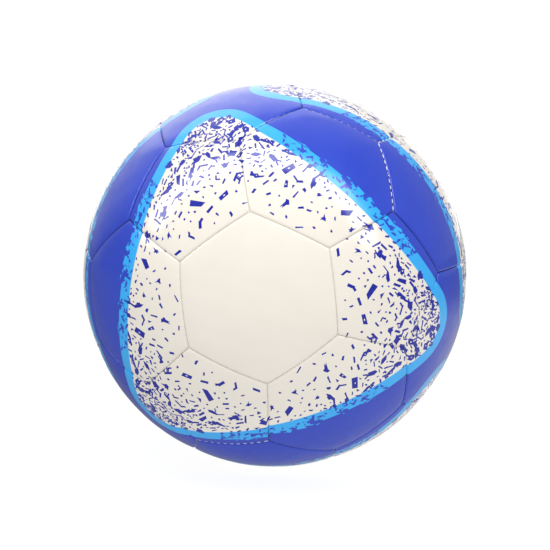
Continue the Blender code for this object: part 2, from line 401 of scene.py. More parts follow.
# Each kind of shard: how many are thrown, the chance that one is kept where ink lies thin and thick, and
# for the plain ones what the table above gives for a fleck
SHARD_KINDS = (
    ("splinter", 1000, -0.25, 1.0, ()),
    ("block", 300, 0.04, 0.5, ()),
    ("star", 320, 0.04, 0.4, ()),
    ("hook", 700, 0.05, 0.5, (hook, (3.0, 6.5), (0.8, 1.3), ())),
    ("wedge", 700, 0.06, 0.6, (chip, (2.0, 4.4), (1.3, 2.6), (3,))),
    ("bar", 900, 0.06, 0.5, (bar, (2.2, 5.6), (0.75, 1.45), ())),
    ("dash", 2600, 0.12, 1.0, (bar, (1.4, 3.8), (0.8, 1.5), ())),
    ("dot", 2600, 0.30, 0.6, (chip, (1.0, 2.0), (0.9, 1.6), (5, 6))),
)
NEAREST, FARTHEST = 38, 106  # millimetres from the print's middle
SLANT = 50  # degrees that most shards lean from the direction outwards
# The least gap between shards, in millimetres, where ink lies from thin to thick
INK_SHARES = (0.0, 0.12, 0.3, 0.6, 1)
SHARD_GAPS = (5.0, 2.3, 1.2, 0.5, 0.22)
MIDDLE_MARGIN = 1.5  # millimetres kept clear round the bare panel
HOLE_CUT = (chip, (0.8, 1.4), (0.7, 1.1), (4,))
SPLINTER_OVERLAP, SMALL_OVERLAP = 2.5, 0.9  # how far over the band, in millimetres, a shard may reach
LEAST_ON_WHITE = 0.3  # and how far from the band, at least, its farthest point lies


def lies_on_white(kind, points):
    """Do a shard's points keep off the bare panel and, but for a short reach, off the band?"""
    depth = print_distance(points * MM) / MM + BAND / MM
    overlap = SPLINTER_OVERLAP if kind == "splinter" else SMALL_OVERLAP
    return clear_of_middle(points) and depth.min() <= -LEAST_ON_WHITE and depth.max() <= overlap


def crowded(points, others, gap):
    """Does any of a shard's points lie nearer than the gap to another shard's?"""
    if not others:
        return False
    apart = np.concatenate(others)[None] - points[:, None]
    return (apart**2).sum(2).min() < gap * gap


def speckles():
    """The shards of one third of the print, each kind thrown in turn and kept where there is room."""
    rng = random.Random(7)
    taken = []
    middles = np.zeros((0, 2))
    radii = np.zeros(0)
    shapes = []
    for kind, tries, thin, thick, sizes in SHARD_KINDS:
        for _ in range(tries):
            reach = math.sqrt(rng.uniform(NEAREST**2, FARTHEST**2))
            turn = math.radians(CORNER_AT + rng.uniform(-60, 60))
            at = beyond((0, 0), reach, turn)
            share = ink_share(at)
            angle = rng.uniform(0, math.tau)
            if rng.random() < 0.55:
                angle = turn + math.radians(rng.choice((-SLANT, SLANT)) + rng.uniform(-22, 22))
            if rng.random() > thin + (thick - thin) * share:
                continue
            new = new_shard(rng, kind, sizes, at, share, angle)
            points = np.concatenate([edge_samples(shape) for shape in new])
            if not lies_on_white(kind, points):
                continue
            gap = np.interp(share, INK_SHARES, SHARD_GAPS) * rng.uniform(0.4, 1.7)
            middle = points.mean(0)
            radius = np.linalg.norm(points - middle, axis=1).max()
            near = np.linalg.norm(middles - middle, axis=1) < radii + radius + gap
            if crowded(points, [taken[i] for i in np.flatnonzero(near)], gap):
                continue
            for k in range(3):
                taken.append(rotated(points, k))
                middles = np.concatenate((middles, rotated(middle[None], k)))
                radii = np.append(radii, radius)
            shapes += [(DEEP_BLUE, shape) for shape in new]
            if kind in ("splinter", "block") and rng.random() < 0.6:
                hole = np.mean(rng.choice(new), axis=0) + (rng.uniform(-0.3, 0.3), rng.uniform(-0.3, 0.3))
                shapes += [(WHITE, shape) for shape in cut(rng, *HOLE_CUT, hole, angle)]
    return shapes


def band_tears():
    """The band is torn along each side: its outer edge steps in and out, and blue flecks lie over it."""
    rng = random.Random(11)
    side = PRINT_TURN + math.tau / 3
    out = np.array((math.cos(side), math.sin(side)))
    along = np.array((-out[1], out[0]))
    shards = []

    def place(run, outwards):
        bow = run * run / 2 / (DISC_RADIUS / MM)
        return tuple(out * (INRADIUS / MM - bow + outwards) + along * run)

    def angle_at(run, lean):
        return side + math.pi / 2 - run * MM / DISC_RADIUS + math.radians(lean)

    run = -TORN_LENGTH
    while run < TORN_LENGTH:
        length = rng.uniform(2.5, 7)
        step = rng.uniform(-2.8, 1.4) * (1 - (run / TORN_FADE) ** 2)
        angle = angle_at(run, rng.uniform(-16, 16))
        if step < -0.5:
            shards.append((BLUE, bar(rng, place(run, step / 2 + 0.6), length, abs(step) + 1.2, angle)))
        elif step > 0.3:
            shards.append((CYAN, bar(rng, place(run, step / 2 - 0.5), length, step + 1.0, angle)))
        run += length * rng.uniform(0.6, 1.3)
    for _ in range(60):
        run = rng.uniform(-TORN_LENGTH, TORN_LENGTH)
        at = place(run, -rng.triangular(0.4, 6.4, 1.2))
        angle = angle_at(run, rng.choice((-35, -12, 12, 35, 70)) + rng.uniform(-12, 12))
        kind = rng.choice(("block", "block", "wedge", "wedge", "bar", "hook", "dot"))
        shards += [(BLUE, shape) for shape in cut(rng, *FLECK_CUTS[kind], at, angle)]
    for _ in range(12):
        run = rng.uniform(-40, 40)
        at = place(run, rng.uniform(0.4, 1.6))
        angle = angle_at(run, rng.uniform(-10, 10))
        shards += [(CYAN, shape) for shape in cut(rng, *FLECK_CUTS["sliver"], at, angle)]
    return shards


def ball_shards():
    """Every shard of the four prints: its ink and its corners as directions."""
    third = band_tears() + speckles()
    turned = [(ink, rotated(shape, k) * MM) for k in range(3) for ink, shape in third]
    return [(ink, onto_ball(axes, shape)) for axes in PRINTS for ink, shape in turned]


SHARDS = ball_shards()
SHARD_MIDDLES = np.array([unit(corners.mean(0)) for _, corners in SHARDS])
CONTOURS = [onto_ball(axes, contour(level)) for axes in PRINTS for level in (0, -BAND)]


# Cover panels

def waves(points, seed):
    """Gentle unevenness of a pressed sheet, as the sum of a few plane waves."""
    rng = np.random.default_rng(seed)
    height = np.zeros(len(points))
    for _ in range(14):
        way = unit(rng.normal(size=3))
        length = rng.uniform(9, 24) * MM
        height += np.sin(points @ way * math.tau / length + rng.uniform(0, math.tau))
    return height * WAVE_HEIGHT


def cover_radius(panel, directions, seed, has_hole):
    """Distance from the ball's centre of the cover's outer surface."""
    gaps = panel.seam_distances(directions)
    near = -CORNER_BLEND * np.log(np.exp(-gaps / CORNER_BLEND).sum(1))
    near = np.maximum(near, 0)
    roll = np.clip(1 - near / SHOULDER, 0, 1)
    drop = SEAM_DEPTH * (1 - np.sqrt(1 - roll**2)) + SWELL * np.exp(-near / SWELL_REACH)
    side = gaps.argmin(1)
    run = np.einsum("ij,ij->i", directions, panel.side_runs[side])
    ahead = np.einsum("ij,ij->i", directions, panel.side_middles[side])
    seam_length = np.arccos(panel.corners[0] @ panel.corners[1])
    stitch = np.arctan2(run, ahead) / seam_length * STITCHES_PER_SEAM
    drop += PUCKER * (0.5 + 0.5 * np.cos(math.tau * stitch)) * np.exp(-near / PUCKER_REACH)
    if has_hole:
        rim = np.arccos(np.clip(directions @ panel.centre, -1, 1)) * BALL_RADIUS - HOLE_RADIUS
        edge = np.clip(1 - rim / HOLE_ROUND, 0, 1)
        drop += HOLE_ROUND * (1 - np.sqrt(1 - edge**2))
    fade = 1 - np.exp(-near / SHOULDER)
    return BALL_RADIUS - drop + waves(directions * BALL_RADIUS, seed) * fade


def cover_normals(panel, directions, seed, has_hole):
    """Outward normals of the cover, from how its radius changes to the side."""
    step = 1e-5
    radius = cover_radius(panel, directions, seed, has_hole)
    guide = np.where(np.abs(directions[:, 2:]) < 0.9, (0.0, 0.0, 1.0), (1.0, 0.0, 0.0))
    first = unit(np.cross(guide, directions))
    second = np.cross(directions, first)
    normal = directions.copy()
    for way in (first, second):
        ahead = cover_radius(panel, unit(directions + step * way), seed, has_hole)
        behind = cover_radius(panel, unit(directions - step * way), seed, has_hole)
        slope = np.clip((ahead - behind) / (2 * step) / radius, -5, 5)
        normal -= slope[:, None] * way
    return unit(normal)


def registration(seed):
    """How a panel's print sits off its place: a small turn about some line."""
    rng = np.random.default_rng(1000 + seed)
    shift = rng.normal(size=3) * MISPRINT / BALL_RADIUS
    return np.array(Matrix.Rotation(np.linalg.norm(shift), 3, Vector(shift)))


def grid_points(panel, step, inset):
    """A triangular grid of flat points inside the outline."""
    reach = int(np.abs(panel.flat_corners).max() / step) + 2
    rows, columns = np.mgrid[-reach : reach + 1, -reach : reach + 1].reshape(2, -1)
    points = np.column_stack(((columns + 0.5 * (rows % 2)) * step, rows * step * math.sqrt(0.75)))
    inside = panel.seam_distances(panel.unflatten(points)).min(1) > inset
    return points[inside]


def hole_circle(radius):
    turn = np.arange(HOLE_STEPS) * math.tau / HOLE_STEPS
    flat = math.tan(radius / BALL_RADIUS) * BALL_RADIUS
    return np.column_stack((np.cos(turn), np.sin(turn))) * flat


def triangulate(points, edges, faces):
    """Points, edges and faces in the plane as triangles, each with the list of faces that it lies in."""
    flat = [Vector(p / MM) for p in points]
    made = delaunay_2d_cdt(flat, edges, faces, 1, 1e-4, True)
    corners = np.array([v[:] for v in made[0]]) * MM
    return corners, made[2], made[3], made[5]


def print_edges(panel, turn):
    """The band's two edges and the shards that reach this panel, as flat points, edges and polygons."""
    points = []
    edges = []
    polygons = []
    for line in CONTOURS:
        line = line @ turn.T
        flat = panel.flatten(line)
        near = line @ panel.centre > math.cos(NEAR_CORNER + 0.05)
        for i in np.flatnonzero(near & np.roll(near, -1)):
            start = sum(map(len, points))
            points.append(np.array((flat[i], flat[(i + 1) % len(line)])))
            edges.append((start, start + 1))
    for index in np.flatnonzero(SHARD_MIDDLES @ panel.centre > math.cos(NEAR_CORNER + 0.05)):
        ink, corners = SHARDS[index]
        start = sum(map(len, points))
        points.append(panel.flatten(corners @ turn.T))
        polygons.append((ink, list(range(start, start + len(corners)))))
    return points, edges, polygons


def printed_sheet(panel, seed, has_hole):
    """The cover's outer surface laid flat: points, triangles and each triangle's ink."""
    turn = registration(seed)
    drawn, drawn_edges, polygons = print_edges(panel, turn)
    rows = [panel.outline(inset * MM, POINTS_PER_SIDE) for inset in ROW_INSETS]
    groups = rows + [grid_points(panel, GRID_STEP, ROW_INSETS[-1] * MM + 0.6 * GRID_STEP)]
    if has_hole:
        holes = [hole_circle(HOLE_RADIUS + inset * MM) for inset in HOLE_INSETS]
        groups[-1] = groups[-1][np.linalg.norm(groups[-1], axis=1) > HOLE_RADIUS + 3.4 * MM]
        groups += holes
    hole_start = sum(map(len, groups[: len(rows) + 1]))
    start = sum(map(len, groups))
    faces = [list(range(len(rows[0])))]
    if has_hole:
        faces.append(list(range(hole_start, hole_start + HOLE_STEPS)))
    first_shard = len(faces)
    inks = [ink for ink, _ in polygons]
    faces += [[start + i for i in polygon] for _, polygon in polygons]
    edges = [(start + a, start + b) for a, b in drawn_edges]
    points, triangles, _, owners = triangulate(np.concatenate(groups + drawn), edges, faces)
    kept = [i for i, own in enumerate(owners) if 0 in own and not (has_hole and 1 in own)]
    triangles = np.array([triangles[i] for i in kept])
    middles = panel.unflatten(points[triangles].mean(1))
    # Blue next to a seam is drawn in a darker blue: painted shade in the seam's groove.
    in_seam_shade = panel.seam_distances(middles).min(1) < SEAM_SHADE_REACH
    depth = print_distance(onto_print(middles @ turn))
    ink = np.where(depth > 0, BLUE, np.where(depth > -BAND, CYAN, WHITE))
    for row, i in enumerate(kept):
        on_top = max(owners[i])
        if on_top >= first_shard:
            ink[row] = inks[on_top - first_shard]
    ink[in_seam_shade & (ink == BLUE)] = SEAM_SHADE_BLUE
    used = np.unique(triangles)
    renumber = np.full(len(points), -1)
    renumber[used] = np.arange(len(used))
    return points[used], renumber[triangles], ink


def rim_loops(triangles):
    """The sheet's open edges chained into loops of point numbers, with the triangle that owns each edge."""
    owner = {}
    for number, (a, b, c) in enumerate(triangles.tolist()):
        for edge in ((a, b), (b, c), (c, a)):
            owner[edge] = number
    following = {a: b for a, b in owner if (b, a) not in owner}
    loops = []
    while following:
        start, here = next(iter(following.items()))
        loop = [start]
        del following[start]
        while here != start:
            loop.append(here)
            here = following.pop(here)
        loops.append(loop)
    return sorted(loops, key=len, reverse=True), owner


def bridge(ring, below):
    """Faces between two closed rings of point numbers, one step of the rings at a time."""
    count = len(ring)
    return [
        (ring[i], below[i], below[(i + 1) % count], ring[(i + 1) % count]) for i in range(count)
    ]


def back_sheet(panel, rims_flat, rims, count):
    """The back inside its rims: its new points, numbered on from count, and its faces."""
    grid = grid_points(panel, BACK_GRID_STEP, EDGE_RINGS[-1][0] * MM + 0.5 * BACK_GRID_STEP)
    known = sum(rims, [])
    outlines = [list(range(len(rims[0])))]
    if len(rims) > 1:
        grid = grid[np.linalg.norm(grid, axis=1) > HOLE_RADIUS + 0.5 * BACK_GRID_STEP]
        outlines.append(list(reversed(range(len(rims[0]), len(known)))))
    flat, triangles, sources, owners = triangulate(np.concatenate(rims_flat + [grid]), [], outlines)
    numbers = []
    added = []
    for point, source in zip(flat, sources):
        on_rim = [s for s in source if s < len(known)]
        if on_rim:
            numbers.append(known[on_rim[0]])
        else:
            numbers.append(count + len(added))
            added.append(point)
    points = panel.unflatten(np.array(added)) * (BALL_RADIUS - BACK_DEPTH)
    kept = [triangle for triangle, own in zip(triangles, owners) if 0 in own and 1 not in own]
    return points, [tuple(numbers[i] for i in reversed(triangle)) for triangle in kept]


def panel_mesh(panel, seed, has_hole):
    """A closed cover panel: printed top, turned-in edge and back."""
    flat, triangles, ink = printed_sheet(panel, seed, has_hole)
    directions = panel.unflatten(flat)
    radius = cover_radius(panel, directions, seed, has_hole)
    top_normals = cover_normals(panel, directions, seed, has_hole)
    points = [directions * radius[:, None]]
    faces = triangles.tolist()
    materials = ink.tolist()
    loops, owner = rim_loops(triangles)

    def new_ring(ring_flat, depth):
        start = sum(map(len, points))
        points.append(panel.unflatten(ring_flat) * (BALL_RADIUS - depth))
        return list(range(start, start + len(ring_flat)))

    outer = loops[0]
    ring = outer
    rim_ink = [int(ink[owner[edge]]) for edge in zip(outer, outer[1:] + outer[:1])]
    for number, (inset, depth) in enumerate(EDGE_RINGS):
        ring_flat = flat[outer] * panel.outline_scale(inset * MM) / panel.outline_scale(ROW_INSETS[0] * MM)
        below = new_ring(ring_flat, depth * MM)
        faces += bridge(ring, below)
        materials += rim_ink if number < PRINTED_RINGS else [BACKING] * len(outer)
        ring = below
    rims_flat = [ring_flat]
    rims = [ring]
    if has_hole:
        hole = loops[1]
        rims_flat.append(flat[hole])
        rims.append(new_ring(flat[hole], BACK_DEPTH))
        faces += bridge(hole, rims[1])
        materials += [BACKING] * len(hole)
    back_points, back_faces = back_sheet(panel, rims_flat, rims, sum(map(len, points)))
    points.append(back_points)
    faces += back_faces
    materials += [BACKING] * len(back_faces)
    return np.concatenate(points), faces, materials, top_normals


def new_object(name, data):
    obj = bpy.data.objects.new(name, data)
    bpy.context.scene.collection.objects.link(obj)
    return obj


def new_mesh_object(name, points, faces, materials, material_numbers=None):
    mesh = bpy.data.meshes.new(name)
    mesh.from_pydata([tuple(p) for p in points], [], faces)
    for material in materials:
        mesh.materials.append(material)
    if material_numbers is not None:
        mesh.polygons.foreach_set("material_index", material_numbers)
    mesh.shade_smooth()
    mesh.update()
    return new_object(name, mesh)


def set_top_normals(obj, top_normals):
    """The cover's normals come from its formula, and the rest from the mesh."""
    normals = vertex_values(obj, "normal")
    normals[: len(top_normals)] = top_normals
    obj.data.normals_split_custom_set_from_vertices(normals.tolist())


# Materials

def new_material(name):
    material = bpy.data.materials.new(name)
    material.use_nodes = True
    tree = material.node_tree
    return material, tree, tree.nodes["Principled BSDF"]


def feed(tree, node, inputs):
    """Fill a node's inputs: a socket is linked, and any other value is a constant."""
    for name, value in inputs.items():
        if isinstance(value, bpy.types.NodeSocket):
            tree.links.new(value, node.inputs[name])
        else:
            node.inputs[name].default_value = value


def output_of(tree, kind, output, inputs, **settings):
    """One output of a new node of this kind, with these inputs and settings."""
    node = tree.nodes.new(f"ShaderNode{kind}")
    for name, value in settings.items():
        setattr(node, name, value)
    feed(tree, node, inputs)
    return node.outputs[output]


def place_on_ball(tree):
    return output_of(tree, "TexCoord", "Object", {})


def noise_at(tree, scale, detail, roughness=0.5):
    """A noise texture over the ball's own coordinates, scale in waves per metre."""
    inputs = {"Vector": place_on_ball(tree), "Scale": scale, "Detail": detail, "Roughness": roughness}
    return output_of(tree, "TexNoise", "Fac", inputs)


def ramp(tree, value, low, high, from_low=0.3, from_high=0.7):
    """A number from one range to another."""
    inputs = {"Value": value, "From Min": from_low, "From Max": from_high, "To Min": low, "To Max": high}
    return output_of(tree, "MapRange", "Result", inputs)


def mixed(tree, factor, first, second):
    """One or the other: two colours, or two numbers that may be sockets."""
    data_type = "RGBA" if isinstance(first, tuple) else "FLOAT"
    return output_of(tree, "Mix", "Result", {"Factor": factor, "A": first, "B": second}, data_type=data_type)


def math_node(tree, operation, first, second):
    return output_of(tree, "Math", "Value", {0: first, 1: second}, operation=operation)


def clouded_colour(tree, shader, clouds, colour, deeper):
    colours = mixed(tree, ramp(tree, clouds, 0, 1), (*colour, 1), (*deeper, 1))
    feed(tree, shader, {"Base Color": colours})


def add_bump(tree, shader, layers):
    """Chained bumps, each (height, strength, distance in metres)."""
    before = {}
    for height, strength, distance in layers:
        inputs = {"Height": height, "Strength": strength, "Distance": distance, **before}
        before = {"Normal": output_of(tree, "Bump", "Normal", inputs)}
    feed(tree, shader, before)


def cover_material(name, colour, deeper, sheen=0.0):
    """Printed glossy sheet: an even ink with slight clouds, a fine grain and a hard clear coat."""
    material, tree, shader = new_material(name)
    clouded_colour(tree, shader, noise_at(tree, 45, 3), colour, deeper)
    roughness = ramp(tree, noise_at(tree, 160, 4), 0.40, 0.55)
    feed(tree, shader, {"Roughness": roughness, "Specular IOR Level": 0.3})
    feed(tree, shader, {"Coat Weight": 0.9, "Coat Roughness": 0.12})
    feed(tree, shader, {"Sheen Weight": sheen, "Sheen Roughness": 0.25})
    orange_peel, grain = noise_at(tree, 420, 2), noise_at(tree, 2600, 2)
    add_bump(tree, shader, ((orange_peel, 0.25, 0.00004), (grain, 0.30, 0.000012)))
    return material


def cloth_material(name, colour, deeper, threads):
    """Plain weave as two crossed waves, with uneven yarns."""
    material, tree, shader = new_material(name)
    inputs = {"Vector": place_on_ball(tree), "Scale": threads, "Distortion": 0.6}
    across, along = (output_of(tree, "TexWave", "Fac", inputs, bands_direction=axis) for axis in "XZ")
    weave = math_node(tree, "MULTIPLY", across, along)
    fuzz = noise_at(tree, 700, 4)
    clouded_colour(tree, shader, fuzz, colour, deeper)
    feed(tree, shader, {"Roughness": 0.9, "Sheen Weight": 0.3})
    add_bump(tree, shader, ((weave, 0.6, 0.0002), (fuzz, 0.3, 0.00008)))
    return material


def felt_material():
    material, tree, shader = new_material("felt")
    fibres = noise_at(tree, 1400, 6, 0.7)
    clouded_colour(tree, shader, fibres, (0.60, 0.58, 0.52), (0.42, 0.40, 0.36))
    feed(tree, shader, {"Roughness": 0.97, "Sheen Weight": 0.5})
    add_bump(tree, shader, ((noise_at(tree, 220, 3), 0.5, 0.0004), (fibres, 0.8, 0.0002)))
    return material


def worn_material(name, colour, deeper, wear, roughness, grain, bump):
    """Rubber or thread, whose wear shows in colour and gloss; wear and grain are noises."""
    material, tree, shader = new_material(name)
    clouds = noise_at(tree, *wear)
    clouded_colour(tree, shader, clouds, colour, deeper)
    feed(tree, shader, {"Roughness": ramp(tree, clouds, *roughness)})
    add_bump(tree, shader, ((noise_at(tree, *grain), *bump),))
    return material


def rubber_material(name, colour, deeper, smoothest, roughest):
    talc = (350, 5, 0.6)
    return worn_material(name, colour, deeper, talc, (smoothest, roughest), (1800, 3), (0.3, 0.00005))


def thread_material():
    pale, grey = (0.86, 0.86, 0.86), (0.68, 0.68, 0.72)
    return worn_material("seam_thread", pale, grey, (900, 4, 0.6), (0.38, 0.6), (5200, 2), (0.4, 0.00003))


# Seam threads

THREAD_RADIUS = 0.30 * MM
THREAD_RIDGE = 0.07 * MM
THREAD_TWIST = 1.6 * MM  # length of one turn of the two plies
THREAD_LOW = 3.0 * MM
THREAD_STEP = 0.30 * MM
THREAD_SIDES = 8
STITCH_SHOWN = 0.60  # share of each stitch that lies on top
STITCH_SUNK = 1.95 * MM
STITCH_RAISED = 0.95 * MM
LOOSE_SPOTS = ((0.52, -0.46, 0.72), (-0.21, -0.56, -0.80), (0.60, 0.75, -0.30), (-0.70, 0.60, 0.40))
LOOSE_REACH = 0.42  # radians
THREAD_SHARE = 0.49  # how much of a seam that leaves a pentagon its thread covers


def thread_depth(run, seam_length, high):
    """Depth below the ball's radius along a seam: up over each stitch and down between stitches."""
    pitch = seam_length / STITCHES_PER_SEAM
    phase = (run / pitch) % 1
    rise = np.clip((STITCH_SHOWN / 2 - np.abs(phase - 0.5)) / 0.12 + 0.5, 0, 1)
    rise = rise * rise * (3 - 2 * rise)
    return THREAD_LOW + (high - THREAD_LOW) * rise


def seam_path(start, end, share, high):
    """Points of a thread from one end of a seam, over a share of its length."""
    angle = math.acos(start @ end)
    length = angle * BALL_RADIUS
    count = int(length * share / THREAD_STEP)
    run = np.linspace(0, length * share, count)
    turn = run / length * angle
    across = unit(end - start @ end * start)
    directions = np.cos(turn)[:, None] * start + np.sin(turn)[:, None] * across
    return directions * (BALL_RADIUS - thread_depth(run, length, high))[:, None]


def tube(path, closed):
    """A two-ply thread along a path: points and faces."""
    if closed:
        tangents = unit(np.roll(path, -1, axis=0) - np.roll(path, 1, axis=0))
    else:
        tangents = unit(np.gradient(path, axis=0))
    side = unit(np.cross(tangents, path))
    up = np.cross(side, tangents)
    run = np.concatenate(((0,), np.cumsum(np.linalg.norm(np.diff(path, axis=0), axis=1))))
    turns = run / THREAD_TWIST * math.tau
    if closed:
        turns *= round(turns[-1] / math.pi) * math.pi / turns[-1]
    around = np.arange(THREAD_SIDES) * math.tau / THREAD_SIDES
    radius = THREAD_RADIUS + THREAD_RIDGE * np.abs(np.cos(around[None] - turns[:, None]))
    offset = np.cos(around)[None, :, None] * side[:, None] + np.sin(around)[None, :, None] * up[:, None]
    points = (path[:, None] + offset * radius[..., None]).reshape(-1, 3)
    faces = []
    rings = len(path)
    circles = np.arange(rings * THREAD_SIDES).reshape(rings, THREAD_SIDES).tolist()
    for i in range(rings if closed else rings - 1):
        faces += bridge(circles[i], circles[(i + 1) % rings])
    if not closed:
        faces += [circles[0], circles[-1][::-1]]
    return points, faces


def stitch_crest(start, end, rng):
    """How deep a seam's stitches lie: sunk out of sight where it is tight, near the top where it is loose."""
    middle = unit(start + end)
    away_by = [math.acos(min(1, middle @ unit(np.array(spot)))) for spot in LOOSE_SPOTS]
    slack = max(math.exp(-((angle / LOOSE_REACH) ** 2)) for angle in away_by)
    return STITCH_SUNK + (STITCH_RAISED - STITCH_SUNK) * min(1, slack * rng.uniform(0.8, 1.3))


def thread_points(pentagon, rng):
    """The loop round a pentagon and half of each seam that leaves its corners."""
    tubes = []
    loop = []
    corners = pentagon.corners
    for corner, following in zip(corners, np.roll(corners, -1, axis=0)):
        loop.append(seam_path(corner, following, 1, stitch_crest(corner, following, rng))[:-1])
    tubes.append(tube(np.concatenate(loop), True))
    for corner in corners:
        nearest = np.argsort(-(ALL_CORNERS @ corner))[1:4]
        rim = corner @ pentagon.centre - 0.05
        outward = next(other for other in ALL_CORNERS[nearest] if other @ pentagon.centre < rim)
        crest = stitch_crest(corner, outward, rng)
        tubes.append(tube(seam_path(corner, outward, THREAD_SHARE, crest), False))
    points = []
    faces = []
    start = 0
    for tube_points, tube_faces in tubes:
        points.append(tube_points)
        faces += [tuple(start + i for i in face) for face in tube_faces]
        start += len(tube_points)
    return np.concatenate(points), faces


# Turned pieces about the valve's line

ON_LINE = 1e-6  # a point nearer to the line than this lies on it
SHARP_EDGE = math.radians(38)


def turned_object(name, outline, towards, steps, material):
    """A closed outline of (radius, height), in metres, turned about a line through the ball's centre."""
    across = Vector((1, 0, 0))
    beside = Vector(towards).cross(across)
    points = []
    faces = []
    rings = []
    for radius, height in outline:
        count = 1 if radius < ON_LINE else steps
        rings.append(list(range(len(points), len(points) + count)))
        for i in range(count):
            turn = i * math.tau / steps
            outwards = across * math.cos(turn) + beside * math.sin(turn)
            points.append(outwards * radius + Vector(towards) * height)
    for i, ring in enumerate(rings):
        below = rings[(i + 1) % len(rings)]
        if len(ring) > 1 or len(below) > 1:
            band = bridge(ring * (steps // len(ring)), below * (steps // len(below)))
            faces += [tuple(dict.fromkeys(face)) for face in band]
    obj = new_mesh_object(name, points, faces, [material])
    obj.data.set_sharp_from_angle(angle=SHARP_EDGE)
    return obj


def arc_points(radius, start, end, count):
    turn = np.linspace(start, end, count + 1)
    return [(radius * math.sin(a), radius * math.cos(a)) for a in turn]


def shell_outline(outer, thickness, opening, end, count):
    """Outer and inner arc of a shell of even thickness, from its opening to its end."""
    return arc_points(outer, opening, end, count) + arc_points(outer - thickness, end, opening, count)


def rounded(points, size, count=4):
    """The closed outline with each corner rounded to this size, or to less where a side is short."""
    made = []
    points = np.array(points)
    for here, before, after in zip(points, np.roll(points, 1, axis=0), np.roll(points, -1, axis=0)):
        cut_back = min(size, 0.45 * np.linalg.norm(before - here), 0.45 * np.linalg.norm(after - here))
        start = here + unit(before - here) * cut_back
        end = here + unit(after - here) * cut_back
        for step in range(count + 1):
            t = step / count
            made.append(tuple((1 - t) ** 2 * start + 2 * t * (1 - t) * here + t * t * end))
    return made


def outer_reach(node):
    """The largest distance from the ball's centre of a CAD node's points."""
    return np.linalg.norm(mesh_points(node), axis=1).max()


# Build

def hand_over(piece, node, body):
    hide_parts(node)
    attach(piece, body)


def build_panels(materials):
    for seed, panel in enumerate(PANELS):
        has_hole = panel.node == "valve_panel"
        points, faces, numbers, normals = panel_mesh(panel, seed, has_hole)
        piece = new_mesh_object(f"{panel.node}_cover", points, faces, materials, numbers)
        set_top_normals(piece, normals)
        hand_over(piece, panel.node, "ball")


def build_threads(material):
    for panel in PANELS:
        if not panel.node.startswith("pentagon_panel"):
            continue
        number = panel.node[-2:]
        points, faces = thread_points(panel, random.Random(int(number)))
        piece = new_mesh_object(f"seam_stitches_{number}", points, faces, [material])
        hand_over(piece, f"seam_thread_{number}", "ball")


BACK = (0, 1, 0)
FRONT = (0, -1, 0)
LAYER_STEPS = 128
VALVE_STEPS = 96
WHOLE = math.pi  # a shell that closes at the far side


def build_layers(felt, rubber, cloth):
    """Shells about the valve's line: opening and thickness in metres, end in radians from the line."""
    patch_span = 17.0 * MM / outer_reach("valve_patch")
    balance_span = 15.0 * MM / outer_reach("balance_patch")
    for name, node, towards, opening, thickness, end, count, material, slot in (
        ("felt_lining", "felt_layer", BACK, 12.6 * MM, 2.0 * MM, WHOLE, 64, felt, "felt"),
        ("air_bladder", "bladder", BACK, 5.5 * MM, 1.0 * MM, WHOLE, 64, rubber, "bladder_rubber"),
        ("valve_patch_cloth", "valve_patch", BACK, 5.1 * MM, 0.9 * MM, patch_span, 14, cloth, "patch_cloth"),
        ("balance_patch_cloth", "balance_patch", FRONT, 0, 0.9 * MM, balance_span, 14, cloth, "patch_cloth"),
    ):
        outer = outer_reach(node)
        outline = shell_outline(outer, thickness, opening / outer, end, count)
        piece = turned_object(name, outline, towards, LAYER_STEPS, material)
        hand_over(piece, node, "ball")


def build_valve(housing_rubber, core_rubber):
    """The housing and the plug that slides in it, each an outline of radius and height in millimetres."""
    tip, tip_height = 4.3, 99.4
    bore, bore_bottom = 2.9, 81.2
    neck, neck_bottom = 4.7, 79.0
    flange, flange_top, flange_bottom = 11.8, 93.86, 92.56
    drain = 0.8
    outline = [
        (tip - 0.5, tip_height),
        (tip, tip_height - 0.5),
        (tip, tip_height - 1.5),
        (tip - 0.25, tip_height - 1.8),
        (tip - 0.25, flange_top + 1.2),
        (tip + 0.8, flange_top + 0.3),
        (flange, flange_top - 0.1),
        (flange, flange_bottom),
        (neck + 0.6, flange_bottom),
        (neck, flange_bottom - 1.0),
        (neck, neck_bottom + 0.6),
        (neck - 0.6, neck_bottom),
        (drain, neck_bottom),
        (drain, bore_bottom),
        (bore, bore_bottom),
        (bore, tip_height - 0.3),
        (bore + 0.3, tip_height),
    ]
    stem = rounded([(radius * MM, height * MM) for radius, height in outline], 0.35 * MM)
    piece = turned_object("valve_stem", stem, BACK, VALVE_STEPS, housing_rubber)
    hand_over(piece, "valve_housing", "ball")
    outer, groove, needle = 2.5, 2.1, 0.6
    top, bottom = 99.0, 81.6
    ribs = 3
    step = (top - bottom) / (2 * ribs + 1)
    outline = []
    for rib in range(ribs + 1):
        rib_top = top - 2 * rib * step
        outline += [(outer, rib_top), (outer, rib_top - step)]
        if rib < ribs:
            outline += [(groove, rib_top - 1.2 * step), (groove, rib_top - 1.8 * step)]
    outline += [(needle, bottom), (needle, top - 0.9), (needle + 0.9, top)]
    plug = rounded([(radius * MM, height * MM) for radius, height in outline], 0.3 * MM)
    piece = turned_object("valve_plug", plug, BACK, VALVE_STEPS, core_rubber)
    hand_over(piece, "valve_core", "valve_core")


# Stage

CAMERA_TURN = math.radians(4.77)
CAMERA_HEIGHT = math.radians(6.80)
CAMERA_DISTANCE = 0.698
CAMERA_LENS = 86.7
ROOM_AXIS = (1.0, 0.0, 0.0)  # light that the surroundings give, less from the right
ROOM_STOPS = ((0.2, 0.90), (1.0, 0.40))
# The floor glows brightest behind the ball to the right; each glow is (near, far, from metres, to metres).
FLOOR_BRIGHTEST = (0.20, 0.15, 0.0)
FLOOR_HALF = 6.0
FLOOR_GAP = 0.2 * MM
FLOOR_LIGHT = (1.18, 0.56, 0.20, 0.60)
FLOOR_GLOSS = (0.40, 0.03, 0.14, 0.39)
FLOOR_GLOW = 0.92  # for the camera
SKY_GLOW = 1.2
